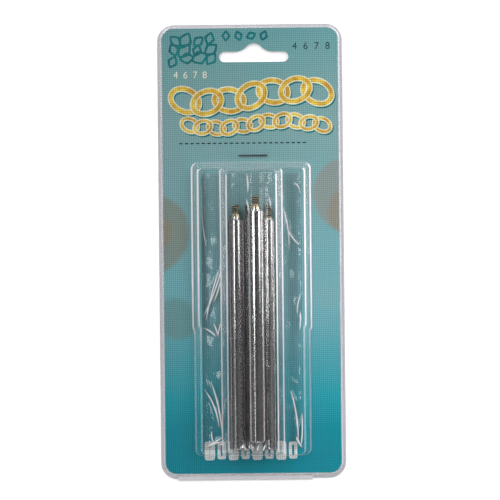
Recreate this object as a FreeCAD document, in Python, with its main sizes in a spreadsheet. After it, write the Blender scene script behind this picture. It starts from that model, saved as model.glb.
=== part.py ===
import FreeCAD, Part
import math
import os

import Sketcher

# A clear folded clamshell pack that holds a printed card and four winding mandrels in a film bag.
# It lies on its back: +X is to the pack's right, +Y towards the hang slot and +Z out of its front.
# The origin is the middle of the rectangle that the pack covers, on the surface that it lies on.

os.makedirs("parts", exist_ok=True)
doc = FreeCAD.newDocument("mandrel_pack")
sheet = doc.addObject("Spreadsheet::Sheet", "driving")

DRIVING = [
    # the clamshell, in millimetres
    ("pack_width", 82.5),
    ("pack_length", 203.2),
    ("pack_corner", 7.5),
    ("gauge", 0.35),
    ("play", 0.05),
    ("tray_rise", 0.70),
    ("nest_gap", 0.10),
    # the fold along the bottom edge
    ("fold_radius", 0.60),
    ("fold_across", -3.7),
    ("fold_half", 30.0),
    ("fold_ramp", 1.4),
    ("fold_gap", 0.02),
    # the card
    ("card_width", 78.3),
    ("card_length", 198.2),
    ("card_corner", 5.0),
    ("card_thick", 0.45),
    ("card_shift", 0.7),
    # the hang slot: a long slot with a round rise in its middle
    ("slot_across", 1.8),
    ("slot_along", 87.0),
    ("slot_length", 30.8),
    ("slot_width", 4.6),
    ("slot_rise", 8.3),
    ("rise_round", 4.2),
    ("flare_round", 6.85),
    # the blister's outer bay, wide at the top of the pack and narrow at the bottom
    ("bay_half", 26.3),
    ("bay_half_low", 25.5),
    ("bay_waist", -36.0),
    ("bay_top", 40.0),
    ("bay_bottom", -90.35),
    ("bay_height", 5.25),
    ("bay_side_run", 2.7),
    ("bay_top_run", 2.6),
    ("bay_bottom_run", 0.9),
    ("bay_corner", 3.0),
    # the blister's inner ridge, on top of the bay
    ("ridge_half", 13.6),
    ("ridge_top", 36.8),
    ("ridge_bottom", -89.25),
    ("ridge_height", 7.8),
    ("ridge_side_run", 2.7),
    ("ridge_top_run", 1.3),
    ("ridge_bottom_run", 1.5),
    ("ridge_corner", 1.3),
    ("ridge_corner_run", 0.2),
    ("corner_run", 1.0),
    ("wall_inset", 0.25),
    # the rounded edges of the formed sheet
    ("edge_round", 1.0),
    # the staple
    ("staple_across", 1.05),
    ("staple_along", 43.1),
    ("staple_crown", 13.0),
    ("staple_wire", 0.6),
    ("staple_bend", 0.5),
    ("staple_clinch", 4.6),
    ("staple_hole", 0.4),
    # the mandrels: what is the same on all four
    ("rod_length", 101.6),
    ("rod_tip_round", 0.7),
    ("rod_shoulder_chamfer", 0.3),
    ("stud_radius", 1.75),
    ("stud_length", 6.5),
    ("stud_chamfer", 0.4),
    ("wire_hole", 0.6),
    ("wire_hole_down", 6.0),
    ("rod_floor", 1.95),
    # the film bag
    ("bag_half", 22.3),
    ("bag_edge_height", 0.5),
    ("bag_foot_run", 0.6),
    ("bag_foot_rise", 0.1),
    ("bag_wall", 0.15),
    ("bag_clear", 0.35),
    ("bag_bottom", -87.9),
    ("bag_mouth", 35.0),
    ("bag_bottom_slope", 1.2),
    ("bag_mouth_slope", 2.5),
    ("bag_bottom_drop", 3.8),
    ("bag_mouth_drop", 1.8),
]

# name: diameter, middle across, middle above the rods' floor, shoulder along, run-out cone's
# radius and length, and whether the wire hole runs up and down or across
MANDRELS = {
    "mandrel_4mm": (4.0, -1.3, 2.0, 14.5, 1.75, 0.4, "up"),
    "mandrel_6mm": (6.0, 7.6, 3.0, 14.2, 2.0, 1.0, "across"),
    "mandrel_7mm": (7.0, -7.0, 3.5, 14.5, 2.6, 2.5, "across"),
    "mandrel_8mm": (8.0, 1.84, 7.45, 18.3, 2.6, 2.5, "across"),
}


def fill_sheet():
    """Puts each driving dimension in a cell of its own, with its alias beside its name."""
    rows = list(DRIVING)
    fields = ("diameter", "middle", "lift", "shoulder", "run_radius", "run_length")
    for name, sizes in MANDRELS.items():
        rows += [(f"{name}_{field}", size) for field, size in zip(fields, sizes)]
    for row, (alias, size) in enumerate(rows, start=1):
        sheet.set(f"A{row}", alias)
        sheet.set(f"B{row}", str(size))
        sheet.setAlias(f"B{row}", alias)
    doc.recompute()


def number(expression):
    """The present value of an expression on the sheet, in millimetres."""
    return float(sheet.evalExpression(expression))


fill_sheet()

# Heights of the layers, from the surface upwards, as expressions on the sheet.
TRAY_TOP = "(driving.tray_rise + driving.gauge)"
CARD_LOW = f"({TRAY_TOP} + driving.play)"
FRONT_LOW = f"({CARD_LOW} + driving.card_thick + driving.play)"
FRONT_TOP = f"({FRONT_LOW} + driving.gauge)"
FLANGE_LOW = "(driving.gauge + driving.play)"
BAY_CEILING = f"({FRONT_TOP} + driving.bay_height)"
RIDGE_CEILING = f"({BAY_CEILING} + driving.ridge_height)"

# The two halves end where the fold begins; the fold's round makes up the rest of the length.
SHELL_LOW = "(-driving.pack_length / 2 + driving.fold_radius)"
SHELL_HIGH = "(driving.pack_length / 2)"


def make_body(name):
    body = doc.addObject("PartDesign::Body", name)
    body.Label = name
    return body


def make_sketch(body, name, plane_role="XY_Plane", lift=None):
    """An empty sketch on one of the body's own planes, moved along its normal by lift."""
    sketch = body.newObject("Sketcher::SketchObject", name)
    plane = next(item for item in body.Origin.OriginFeatures if item.Role == plane_role)
    sketch.AttachmentSupport = [(plane, "")]
    sketch.MapMode = "FlatFace"
    if lift:
        sketch.setExpression("AttachmentOffset.Base.z", lift)
    return sketch


def bind(sketch, kind, where, expression):
    """Adds a measured constraint and binds its size to the expression."""
    size = number(expression)
    index = sketch.addConstraint(Sketcher.Constraint(kind, *where, size))
    sketch.setExpression(f"Constraints[{index}]", expression)


def hold(sketch, geometry, point, across=None, along=None):
    """Holds a point at a distance from the sketch's origin; the word axis puts it on that axis."""
    if across == "axis":
        sketch.addConstraint(Sketcher.Constraint("PointOnObject", geometry, point, -2))
    elif across:
        bind(sketch, "DistanceX", (-1, 1, geometry, point), across)
    if along == "axis":
        sketch.addConstraint(Sketcher.Constraint("PointOnObject", geometry, point, -1))
    elif along:
        bind(sketch, "DistanceY", (-1, 1, geometry, point), along)


def draw_rounded_rectangle(sketch, left, right, low, high, radius):
    """Four lines and four equal arcs, counter-clockwise from the bottom line."""
    x0, x1, y0, y1 = number(left), number(right), number(low), number(high)
    r = number(radius)
    quarter = math.pi / 2
    centres = [(x1 - r, y0 + r), (x1 - r, y1 - r), (x0 + r, y1 - r), (x0 + r, y0 + r)]
    sides = [
        ((x0 + r, y0), (x1 - r, y0)),
        ((x1, y0 + r), (x1, y1 - r)),
        ((x1 - r, y1), (x0 + r, y1)),
        ((x0, y1 - r), (x0, y0 + r)),
    ]
    first = sketch.GeometryCount
    for turn, (side, centre) in enumerate(zip(sides, centres)):
        start, end = (FreeCAD.Vector(*point, 0) for point in side)
        sketch.addGeometry(Part.LineSegment(start, end))
        circle = Part.Circle(FreeCAD.Vector(*centre, 0), FreeCAD.Vector(0, 0, 1), r)
        sketch.addGeometry(Part.ArcOfCircle(circle, (turn - 1) * quarter, turn * quarter))
    for step in range(8):
        after = first + (step + 1) % 8
        sketch.addConstraint(Sketcher.Constraint("Tangent", first + step, 2, after, 1))
    for corner in (3, 5, 7):
        sketch.addConstraint(Sketcher.Constraint("Equal", first + 1, first + corner))
    sketch.addConstraint(Sketcher.Constraint("Horizontal", first))
    sketch.addConstraint(Sketcher.Constraint("Vertical", first + 2))
    sketch.addConstraint(Sketcher.Constraint("Horizontal", first + 4))
    sketch.addConstraint(Sketcher.Constraint("Vertical", first + 6))
    bind(sketch, "Radius", (first + 1,), radius)
    hold(sketch, first, 1, along=low)
    hold(sketch, first + 2, 1, across=right)
    hold(sketch, first + 4, 1, along=high)
    hold(sketch, first + 6, 1, across=left)


def draw_card_outline(sketch, margin):
    """The card's outline, grown on every side by margin."""
    half = f"driving.card_width / 2 + {margin}"
    draw_rounded_rectangle(
        sketch,
        f"-({half})",
        half,
        f"driving.card_shift - driving.card_length / 2 - ({margin})",
        f"driving.card_shift + driving.card_length / 2 + {margin}",
        f"driving.card_corner + {margin}",
    )


def draw_pack_outline(sketch):
    """The clamshell's outline, from the fold to the top edge."""
    half = "driving.pack_width / 2"
    draw_rounded_rectangle(sketch, f"-{half}", half, SHELL_LOW, SHELL_HIGH, "driving.pack_corner")


def draw_polygon(sketch, corners):
    """Straight sides through corners given as pairs of expressions, each held from the origin."""
    places = [
        FreeCAD.Vector(*(0 if part == "axis" else number(part) for part in corner), 0)
        for corner in corners
    ]
    count = len(places)
    for step in range(count):
        sketch.addGeometry(Part.LineSegment(places[step], places[(step + 1) % count]))
    for step in range(count):
        after = (step + 1) % count
        sketch.addConstraint(Sketcher.Constraint("Coincident", step, 2, after, 1))
    for step, (across, along) in enumerate(corners):
        hold(sketch, step, 1, across=across, along=along)


def draw_circle(sketch, across, along, radius):
    centre = FreeCAD.Vector(number(across), number(along), 0)
    circle = Part.Circle(centre, FreeCAD.Vector(0, 0, 1), number(radius))
    index = sketch.addGeometry(circle)
    hold(sketch, index, 3, across=across, along=along)
    bind(sketch, "Radius", (index,), radius)


def draw_hang_slot(sketch):
    """A long slot with round ends, and a round rise that flares into its upper side."""
    half_width = number("driving.slot_width / 2")
    reach = number("driving.slot_length / 2") - half_width
    middle_x = number("driving.slot_across")
    middle_y = number("driving.slot_along")
    rise = number("driving.rise_round")
    flare = number("driving.flare_round")
    rise_y = number("driving.slot_rise - driving.slot_width / 2 - driving.rise_round")
    flare_y = half_width + flare
    flare_x = math.sqrt((rise + flare) ** 2 - (flare_y - rise_y) ** 2)
    lean = math.atan2(flare_y - rise_y, flare_x)
    up = FreeCAD.Vector(0, 0, 1)

    def spot(x, y):
        return FreeCAD.Vector(middle_x + x, middle_y + y, 0)

    def arc(x, y, radius, start, end):
        return Part.ArcOfCircle(Part.Circle(spot(x, y), up, radius), start, end)

    half_turn = math.pi
    low_line, right_end, right_line, right_flare, top, left_flare, left_line, left_end = range(8)
    sketch.addGeometry(Part.LineSegment(spot(-reach, -half_width), spot(reach, -half_width)))
    sketch.addGeometry(arc(reach, 0, half_width, -half_turn / 2, half_turn / 2))
    sketch.addGeometry(Part.LineSegment(spot(reach, half_width), spot(flare_x, half_width)))
    sketch.addGeometry(arc(flare_x, flare_y, flare, half_turn + lean, 1.5 * half_turn))
    sketch.addGeometry(arc(0, rise_y, rise, lean, half_turn - lean))
    sketch.addGeometry(arc(-flare_x, flare_y, flare, -half_turn / 2, -lean))
    sketch.addGeometry(Part.LineSegment(spot(-flare_x, half_width), spot(-reach, half_width)))
    sketch.addGeometry(arc(-reach, 0, half_width, half_turn / 2, 1.5 * half_turn))
    for joint in (
        (low_line, 2, right_end, 1),
        (right_end, 2, right_line, 1),
        (right_line, 2, right_flare, 2),
        (right_flare, 1, top, 1),
        (top, 2, left_flare, 2),
        (left_flare, 1, left_line, 1),
        (left_line, 2, left_end, 1),
        (left_end, 2, low_line, 1),
    ):
        sketch.addConstraint(Sketcher.Constraint("Tangent", *joint))
    for line in (low_line, right_line, left_line):
        sketch.addConstraint(Sketcher.Constraint("Horizontal", line))
    sketch.addConstraint(Sketcher.Constraint("Equal", right_end, left_end))
    sketch.addConstraint(Sketcher.Constraint("Equal", right_flare, left_flare))
    bind(sketch, "Radius", (right_end,), "driving.slot_width / 2")
    bind(sketch, "Radius", (right_flare,), "driving.flare_round")
    bind(sketch, "Radius", (top,), "driving.rise_round")
    end_reach = "driving.slot_length / 2 - driving.slot_width / 2"
    rise_level = "driving.slot_rise - driving.slot_width / 2 - driving.rise_round"
    hold(sketch, right_end, 3, across=f"driving.slot_across + {end_reach}")
    hold(sketch, left_end, 3, f"driving.slot_across - ({end_reach})", "driving.slot_along")
    hold(sketch, top, 3, "driving.slot_across", f"driving.slot_along + {rise_level}")


def pad(body, name, sketch, length):
    feature = body.newObject("PartDesign::Pad", name)
    feature.Profile = sketch
    feature.setExpression("Length", length)
    doc.recompute()
    return feature


def cut_through(body, name, sketch):
    """Cuts the sketch's shape through the whole body, both ways, and makes sure that it cut."""
    before = body.Shape.Volume
    feature = body.newObject("PartDesign::Pocket", name)
    feature.Profile = sketch
    feature.Type = "ThroughAll"
    feature.SideType = "Symmetric"
    doc.recompute()
    if body.Shape.Volume >= before:
        raise ValueError(f"{name} cuts nothing from {body.Label}")
    return feature


def cut_upwards(body, name, sketch, depth):
    """Cuts the sketch's shape out of the body from the sketch's plane upwards."""
    before = body.Shape.Volume
    feature = body.newObject("PartDesign::Pocket", name)
    feature.Profile = sketch
    feature.Reversed = True
    feature.setExpression("Length", depth)
    doc.recompute()
    if body.Shape.Volume >= before:
        raise ValueError(f"{name} cuts nothing from {body.Label}")
    return feature


def loft(body, name, sketches, kind):
    """A straight-sided step between two sketches, added to the body or cut out of it."""
    before = body.Shape.Volume
    feature = body.newObject(kind, name)
    feature.Profile = sketches[0]
    feature.Sections = sketches[1:]
    feature.Ruled = True
    doc.recompute()
    if abs(body.Shape.Volume - before) < 1:
        raise ValueError(f"{name} changes nothing on {body.Label}")
    return feature


def cut_hang_slot(body, prefix):
    sketch = make_sketch(body, f"{prefix}_slot_sketch")
    draw_hang_slot(sketch)
    cut_through(body, f"{prefix}_slot", sketch)


def cut_staple_holes(body, prefix):
    """One small round hole for each of the staple's legs."""
    sketch = make_sketch(body, f"{prefix}_staple_sketch")
    leg = "(driving.staple_crown - driving.staple_wire) / 2"
    for side in ("+", "-"):
        across = f"driving.staple_across {side} {leg}"
        draw_circle(sketch, across, "driving.staple_along", "driving.staple_hole")
    cut_through(body, f"{prefix}_staple_holes", sketch)


def make_printed_card():
    body = make_body("printed_card")
    outline = make_sketch(body, "card_outline", lift=CARD_LOW)
    draw_card_outline(outline, "0")
    pad(body, "card_sheet", outline, "driving.card_thick")
    cut_hang_slot(body, "card")
    cut_staple_holes(body, "card")
    return body


def make_back_shell():
    """A shallow tray turned over: a flat rim on the surface, and a panel raised inside the card's edge."""
    body = make_body("back_shell")
    rim = make_sketch(body, "back_rim")
    draw_pack_outline(rim)
    pad(body, "back_flange", rim, "driving.gauge")
    raised = make_sketch(body, "back_raised")
    draw_card_outline(raised, "driving.gauge")
    pad(body, "back_panel", raised, TRAY_TOP)
    hollow = make_sketch(body, "back_hollow_outline")
    draw_card_outline(hollow, "0")
    cut_upwards(body, "back_hollow", hollow, "driving.tray_rise")
    cut_hang_slot(body, "back")
    cut_staple_holes(body, "back")
    return body


def edges_on_level(shape, level):
    """Names of the edges that lie wholly in the horizontal plane at this height."""
    return [
        f"Edge{index}"
        for index, edge in enumerate(shape.Edges, start=1)
        if abs(edge.BoundBox.ZMin - level) < 1e-4 and abs(edge.BoundBox.ZMax - level) < 1e-4
    ]


def round_edges(body, name, level, radius):
    """Rounds every edge of the body that lies at this height."""
    base = body.Tip
    feature = body.newObject("PartDesign::Fillet", name)
    feature.Base = (base, edges_on_level(base.Shape, number(level)))
    feature.setExpression("Radius", radius)
    doc.recompute()
    return feature


def tapered_step(body, name, levels, half, low, high, corner, kind):
    """A rounded rectangle that narrows upwards: every size is a pair, for its foot and its top."""
    sketches = []
    for place, level in enumerate(levels):
        sketch = make_sketch(body, f"{name}_{place}", lift=level)
        sides = (f"-({half[place]})", half[place], low[place], high[place])
        draw_rounded_rectangle(sketch, *sides, corner[place])
        sketches.append(sketch)
    return loft(body, name, sketches, kind)


def form_blister(body, prefix, kind, down, inset):
    """The bay's two widths and the ridge, as solid steps: lowered by down, drawn in by inset."""

    def pair(first, change, sign):
        return (f"{first} {sign} {inset}", f"{first} {sign} ({change} + {inset})")

    bay_levels = (f"{FRONT_TOP} - {down}", f"{BAY_CEILING} - {down}")
    bay_low = pair("driving.bay_bottom", "driving.bay_bottom_run", "+")
    bay_high = pair("driving.bay_top", "driving.bay_top_run", "-")
    waist_low = pair("driving.bay_waist", "driving.bay_side_run", "+")
    narrow_half = pair("driving.bay_half_low", "driving.bay_side_run", "-")
    wide_half = pair("driving.bay_half", "driving.bay_side_run", "-")
    corner = pair("driving.bay_corner", "driving.corner_run", "-")
    name = f"{prefix}_bay_narrow"
    tapered_step(body, name, bay_levels, narrow_half, bay_low, bay_high, corner, kind)
    name = f"{prefix}_bay_wide"
    tapered_step(body, name, bay_levels, wide_half, waist_low, bay_high, corner, kind)

    ridge_levels = (f"{BAY_CEILING} - {down}", f"{RIDGE_CEILING} - {down}")
    ridge_half = pair("driving.ridge_half", "driving.ridge_side_run", "-")
    ridge_low = pair("driving.ridge_bottom", "driving.ridge_bottom_run", "+")
    ridge_high = pair("driving.ridge_top", "driving.ridge_top_run", "-")
    ridge_corner = pair("driving.ridge_corner", "driving.ridge_corner_run", "-")
    name = f"{prefix}_ridge"
    tapered_step(body, name, ridge_levels, ridge_half, ridge_low, ridge_high, ridge_corner, kind)


def make_front_shell():
    """A formed sheet: card recess, outer bay and inner ridge, with a flat rim around."""
    body = make_body("front_shell")
    recess = "driving.gauge + driving.nest_gap"

    rim = make_sketch(body, "front_rim_outline", lift=FLANGE_LOW)
    draw_pack_outline(rim)
    pad(body, "front_rim", rim, "driving.gauge")
    block = make_sketch(body, "front_block_outline", lift=FLANGE_LOW)
    draw_card_outline(block, f"{recess} + driving.gauge")
    pad(body, "front_block", block, f"{FRONT_TOP} - {FLANGE_LOW}")
    form_blister(body, "outer", "PartDesign::AdditiveLoft", "0", "0")

    hollow = make_sketch(body, "front_recess_outline", lift=FLANGE_LOW)
    draw_card_outline(hollow, recess)
    cut_upwards(body, "front_recess", hollow, f"{FRONT_LOW} - {FLANGE_LOW}")
    inset = "driving.wall_inset"
    form_blister(body, "inner", "PartDesign::SubtractiveLoft", "driving.gauge", inset)

    round_edges(body, "crest_round", RIDGE_CEILING, "driving.edge_round")
    inner_crest = f"{RIDGE_CEILING} - driving.gauge"
    round_edges(body, "crest_inner_round", inner_crest, "driving.edge_round - driving.gauge")
    cut_fold_notch(body)
    cut_hang_slot(body, "front")
    cut_staple_holes(body, "front")
    return body


def cut_fold_notch(body):
    """Makes room in the front's bottom edge for the ramp of the fold."""
    notch = make_sketch(body, "fold_notch_outline")
    left = "(driving.fold_across - driving.fold_half - driving.fold_gap)"
    right = "(driving.fold_across + driving.fold_half + driving.fold_gap)"
    low = f"({SHELL_LOW} - driving.fold_radius)"
    high = f"({SHELL_LOW} + driving.fold_ramp + driving.fold_gap)"
    draw_polygon(notch, [(left, low), (right, low), (right, high), (left, high)])
    cut_through(body, "fold_notch", notch)


def make_hinge_strip():
    """The folded strip: half a tube from the back's rim to a short ramp down to the front's rim."""
    body = make_body("hinge_strip")
    sketch = make_sketch(body, "fold_profile", "YZ_Plane")
    outer = number("driving.fold_radius")
    inner = number("driving.fold_radius - driving.gauge")
    start = number(SHELL_LOW)
    ramp_end = number(f"{SHELL_LOW} + driving.fold_ramp")
    front_low = number(FLANGE_LOW)
    gauge = number("driving.gauge")
    centre = FreeCAD.Vector(start, outer, 0)
    up = FreeCAD.Vector(0, 0, 1)
    corners = [
        FreeCAD.Vector(start, 2 * outer, 0),
        FreeCAD.Vector(ramp_end, front_low + gauge, 0),
        FreeCAD.Vector(ramp_end, front_low, 0),
        FreeCAD.Vector(start, outer + inner, 0),
    ]
    outer_arc, upper, end, lower, inner_arc, foot = range(6)
    half_turn = math.pi
    sketch.addGeometry(
        Part.ArcOfCircle(Part.Circle(centre, up, outer), half_turn / 2, 1.5 * half_turn)
    )
    for first, second in zip(corners, corners[1:]):
        sketch.addGeometry(Part.LineSegment(first, second))
    sketch.addGeometry(
        Part.ArcOfCircle(Part.Circle(centre, up, inner), half_turn / 2, 1.5 * half_turn)
    )
    low_inner = FreeCAD.Vector(start, outer - inner, 0)
    sketch.addGeometry(Part.LineSegment(low_inner, FreeCAD.Vector(start, 0, 0)))
    for joint in (
        (outer_arc, 1, upper, 1),
        (upper, 2, end, 1),
        (end, 2, lower, 1),
        (lower, 2, inner_arc, 1),
        (inner_arc, 2, foot, 1),
        (foot, 2, outer_arc, 2),
    ):
        sketch.addConstraint(Sketcher.Constraint("Coincident", *joint))
    hold(sketch, outer_arc, 3, SHELL_LOW, "driving.fold_radius")
    sketch.addConstraint(Sketcher.Constraint("Coincident", outer_arc, 3, inner_arc, 3))
    bind(sketch, "Radius", (outer_arc,), "driving.fold_radius")
    bind(sketch, "Radius", (inner_arc,), "driving.fold_radius - driving.gauge")
    sketch.addConstraint(Sketcher.Constraint("Vertical", foot))
    hold(sketch, outer_arc, 2, across=SHELL_LOW)
    hold(sketch, outer_arc, 1, across=SHELL_LOW)
    hold(sketch, inner_arc, 1, across=SHELL_LOW)
    ramp_place = f"{SHELL_LOW} + driving.fold_ramp"
    hold(sketch, upper, 2, ramp_place, f"{FLANGE_LOW} + driving.gauge")
    hold(sketch, end, 2, ramp_place, FLANGE_LOW)
    fold = body.newObject("PartDesign::Pad", "fold")
    fold.Profile = sketch
    fold.SideType = "Symmetric"
    fold.setExpression("Length", "2 * driving.fold_half")
    doc.recompute()
    body.setExpression("Placement.Base.x", "driving.fold_across")
    return body


def make_staple():
    """Half a staple swept along its wire's middle line, and its mirror image."""
    body = make_body("staple")
    wire = number("driving.staple_wire")
    radius = wire / 2
    bend = number("driving.staple_bend")
    leg_x = number("(driving.staple_crown - driving.staple_wire) / 2")
    crown_z = number(f"{FRONT_TOP} + driving.play + driving.staple_wire / 2")
    clinch_z = number("driving.tray_rise - driving.play - driving.staple_wire / 2")
    clinch_x = leg_x - number("driving.staple_clinch")
    up = FreeCAD.Vector(0, 0, 1)
    quarter = math.pi / 2

    path = make_sketch(body, "staple_path", "XZ_Plane")
    crown, top_bend, leg, low_bend, clinch = range(5)
    path.addGeometry(
        Part.LineSegment(FreeCAD.Vector(0, crown_z, 0), FreeCAD.Vector(leg_x - bend, crown_z, 0))
    )
    top_centre = FreeCAD.Vector(leg_x - bend, crown_z - bend, 0)
    path.addGeometry(Part.ArcOfCircle(Part.Circle(top_centre, up, bend), 0, quarter))
    path.addGeometry(
        Part.LineSegment(
            FreeCAD.Vector(leg_x, crown_z - bend, 0), FreeCAD.Vector(leg_x, clinch_z + bend, 0)
        )
    )
    low_centre = FreeCAD.Vector(leg_x - bend, clinch_z + bend, 0)
    path.addGeometry(Part.ArcOfCircle(Part.Circle(low_centre, up, bend), -quarter, 0))
    path.addGeometry(
        Part.LineSegment(
            FreeCAD.Vector(leg_x - bend, clinch_z, 0), FreeCAD.Vector(clinch_x, clinch_z, 0)
        )
    )
    for joint in (
        (crown, 2, top_bend, 2),
        (top_bend, 1, leg, 1),
        (leg, 2, low_bend, 2),
        (low_bend, 1, clinch, 1),
    ):
        path.addConstraint(Sketcher.Constraint("Tangent", *joint))
    path.addConstraint(Sketcher.Constraint("Horizontal", crown))
    path.addConstraint(Sketcher.Constraint("Vertical", leg))
    path.addConstraint(Sketcher.Constraint("Horizontal", clinch))
    bind(path, "Radius", (top_bend,), "driving.staple_bend")
    bind(path, "Radius", (low_bend,), "driving.staple_bend")
    hold(path, crown, 1, "axis", f"{FRONT_TOP} + driving.play + driving.staple_wire / 2")
    leg_place = "(driving.staple_crown - driving.staple_wire) / 2"
    hold(path, leg, 1, across=leg_place)
    clinch_level = "driving.tray_rise - driving.play - driving.staple_wire / 2"
    hold(path, clinch, 2, f"{leg_place} - driving.staple_clinch", clinch_level)

    section = make_sketch(body, "staple_section", "YZ_Plane")
    index = section.addGeometry(
        Part.Circle(FreeCAD.Vector(0, crown_z, 0), up, radius)
    )
    hold(section, index, 3, "axis", f"{FRONT_TOP} + driving.play + driving.staple_wire / 2")
    bind(section, "Radius", (index,), "driving.staple_wire / 2")
    doc.recompute()
    sweep = body.newObject("PartDesign::AdditivePipe", "staple_half")
    sweep.Profile = section
    sweep.Spine = path
    doc.recompute()
    mirror = body.newObject("PartDesign::Mirrored", "staple_other_half")
    mirror.Originals = [sweep]
    plane = next(item for item in body.Origin.OriginFeatures if item.Role == "YZ_Plane")
    mirror.MirrorPlane = (plane, [""])
    body.Tip = mirror
    doc.recompute()
    body.setExpression("Placement.Base.x", "driving.staple_across")
    body.setExpression("Placement.Base.y", "driving.staple_along")
    return body


def make_mandrel(name, hole_way):
    """One turned rod along Y: round tip at the bottom, shoulder, run-out cone and stud at the top."""
    body = make_body(name)
    own = f"driving.{name}"
    radius = f"({own}_diameter / 2)"
    end = "driving.rod_length"
    edge = "driving.rod_shoulder_chamfer"
    tip = "driving.rod_length + driving.stud_length"
    profile = make_sketch(body, f"{name}_profile")
    draw_polygon(
        profile,
        [
            ("axis", "axis"),
            (radius, "axis"),
            (radius, f"{end} - {edge}"),
            (f"{radius} - {edge}", end),
            (f"{own}_run_radius", end),
            ("driving.stud_radius", f"{end} + {own}_run_length"),
            ("driving.stud_radius", f"{tip} - driving.stud_chamfer"),
            ("driving.stud_radius - driving.stud_chamfer", tip),
            ("axis", tip),
        ],
    )
    turned = body.newObject("PartDesign::Revolution", f"{name}_turned")
    turned.Profile = profile
    turned.ReferenceAxis = (profile, ["V_Axis"])
    turned.Angle = 360
    doc.recompute()
    foot = [
        f"Edge{index}"
        for index, item in enumerate(turned.Shape.Edges, start=1)
        if item.BoundBox.YMax < 1e-6 and item.BoundBox.XLength > number(radius)
    ]
    rounding = body.newObject("PartDesign::Fillet", f"{name}_tip_round")
    rounding.Base = (turned, foot)
    rounding.setExpression("Radius", "driving.rod_tip_round")
    doc.recompute()
    plane = "XY_Plane" if hole_way == "up" else "YZ_Plane"
    hole = make_sketch(body, f"{name}_hole_outline", plane)
    centre = "driving.rod_length - driving.wire_hole_down"
    if hole_way == "up":
        circle = Part.Circle(FreeCAD.Vector(0, number(centre), 0), FreeCAD.Vector(0, 0, 1), 1)
        index = hole.addGeometry(circle)
        hold(hole, index, 3, "axis", centre)
    else:
        circle = Part.Circle(FreeCAD.Vector(number(centre), 0, 0), FreeCAD.Vector(0, 0, 1), 1)
        index = hole.addGeometry(circle)
        hold(hole, index, 3, centre, "axis")
    bind(hole, "Radius", (index,), "driving.wire_hole")
    cut_through(body, f"{name}_wire_hole", hole)
    body.setExpression("Placement.Base.x", f"{own}_middle")
    body.setExpression("Placement.Base.y", f"{own}_shoulder - driving.rod_length")
    body.setExpression("Placement.Base.z", f"driving.rod_floor + {own}_lift")
    return body


def round_a_rod(name, first, last, steps, clear):
    """Points that go round a rod clockwise from one angle to another, clear of it by clear."""
    radius = number(f"driving.{name}_diameter / 2")
    x = number(f"driving.{name}_middle")
    z = number(f"driving.rod_floor + driving.{name}_lift")
    turn = math.radians(last - first) / steps
    reach = (radius + clear) / math.cos(turn / 2)
    angles = [math.radians(first) + step * turn for step in range(steps + 1)]
    return [(x + reach * math.cos(angle), z + reach * math.sin(angle)) for angle in angles]


def bag_section(along, clear, drop, inset):
    """The bag's outline across the pack: flat edges on the card, and film over the rods."""
    half = number("driving.bag_half") - inset
    low = number(FRONT_LOW) + inset
    edge = low + number("driving.bag_edge_height") - 2 * inset
    top_rod = "driving.rod_floor + driving.mandrel_8mm_lift + driving.mandrel_8mm_diameter / 2"
    ceiling = number(top_rod) + clear - drop
    hump = round_a_rod("mandrel_7mm", 180, 100, 2, clear)
    hump += round_a_rod("mandrel_8mm", 135, 45, 2, clear)
    hump += round_a_rod("mandrel_6mm", 60, 0, 2, clear)
    foot_run = number("driving.bag_foot_run")
    foot = edge + number("driving.bag_foot_rise")
    left_foot = (hump[0][0] - foot_run, foot)
    right_foot = (hump[-1][0] + foot_run, foot)
    outline = [(-half, low), (-half, edge), left_foot]
    outline += [(x, min(z, ceiling)) for x, z in hump]
    outline += [right_foot, (half, edge), (half, low)]
    points = [FreeCAD.Vector(x, along, z) for x, z in outline]
    return Part.makePolygon(points + points[:1])


def make_polybag():
    """A thin flat bag, closed at its bottom, with its front film lifted over the rods."""
    bottom, mouth = number("driving.bag_bottom"), number("driving.bag_mouth")
    wall = number("driving.bag_wall")
    clear = number("driving.bag_clear")
    bottom_slope = number("driving.bag_bottom_slope")
    mouth_slope = number("driving.bag_mouth_slope")
    bottom_drop = number("driving.bag_bottom_drop")
    mouth_drop = number("driving.bag_mouth_drop")

    def body_of(first, last, grow, inset):
        stations = [
            (first, bottom_drop),
            (first + bottom_slope, 0),
            (mouth - mouth_slope, 0),
            (last, mouth_drop),
        ]
        wires = [bag_section(along, clear + grow, drop, inset) for along, drop in stations]
        return Part.makeLoft(wires, True, True)

    outside = body_of(bottom, mouth, wall, 0)
    inside = body_of(bottom + wall, mouth + wall, 0, wall)
    bag = doc.addObject("Part::Feature", "polybag")
    bag.Label = "polybag"
    bag.Shape = outside.cut(inside)
    bag.Placement = FreeCAD.Placement()
    return bag


def check_and_write(pieces):
    """Stops on any failed object or bad shape, and writes one file for each piece."""
    for item in doc.Objects:
        if "Invalid" in item.State or "Error" in item.State:
            raise ValueError(f"{item.Label} failed: {item.State}")
    for piece in pieces:
        shape = piece.Shape
        if shape.isNull() or not shape.isValid() or len(shape.Solids) != 1:
            raise ValueError(f"{piece.Label} isn't one valid solid")
        shape.exportStep(f"parts/{piece.Label}.step")
        size = shape.BoundBox
        print(f"{piece.Label}: {shape.Volume:.1f} mm3, {size}")


pieces = [
    make_back_shell(),
    make_hinge_strip(),
    make_printed_card(),
    make_polybag(),
]
pieces += [make_mandrel(name, sizes[-1]) for name, sizes in MANDRELS.items()]
pieces += [make_front_shell(), make_staple()]
doc.recompute()
check_and_write(pieces)
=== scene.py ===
import math

import bmesh
import bpy
import numpy as np
from mathutils import Matrix


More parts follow.
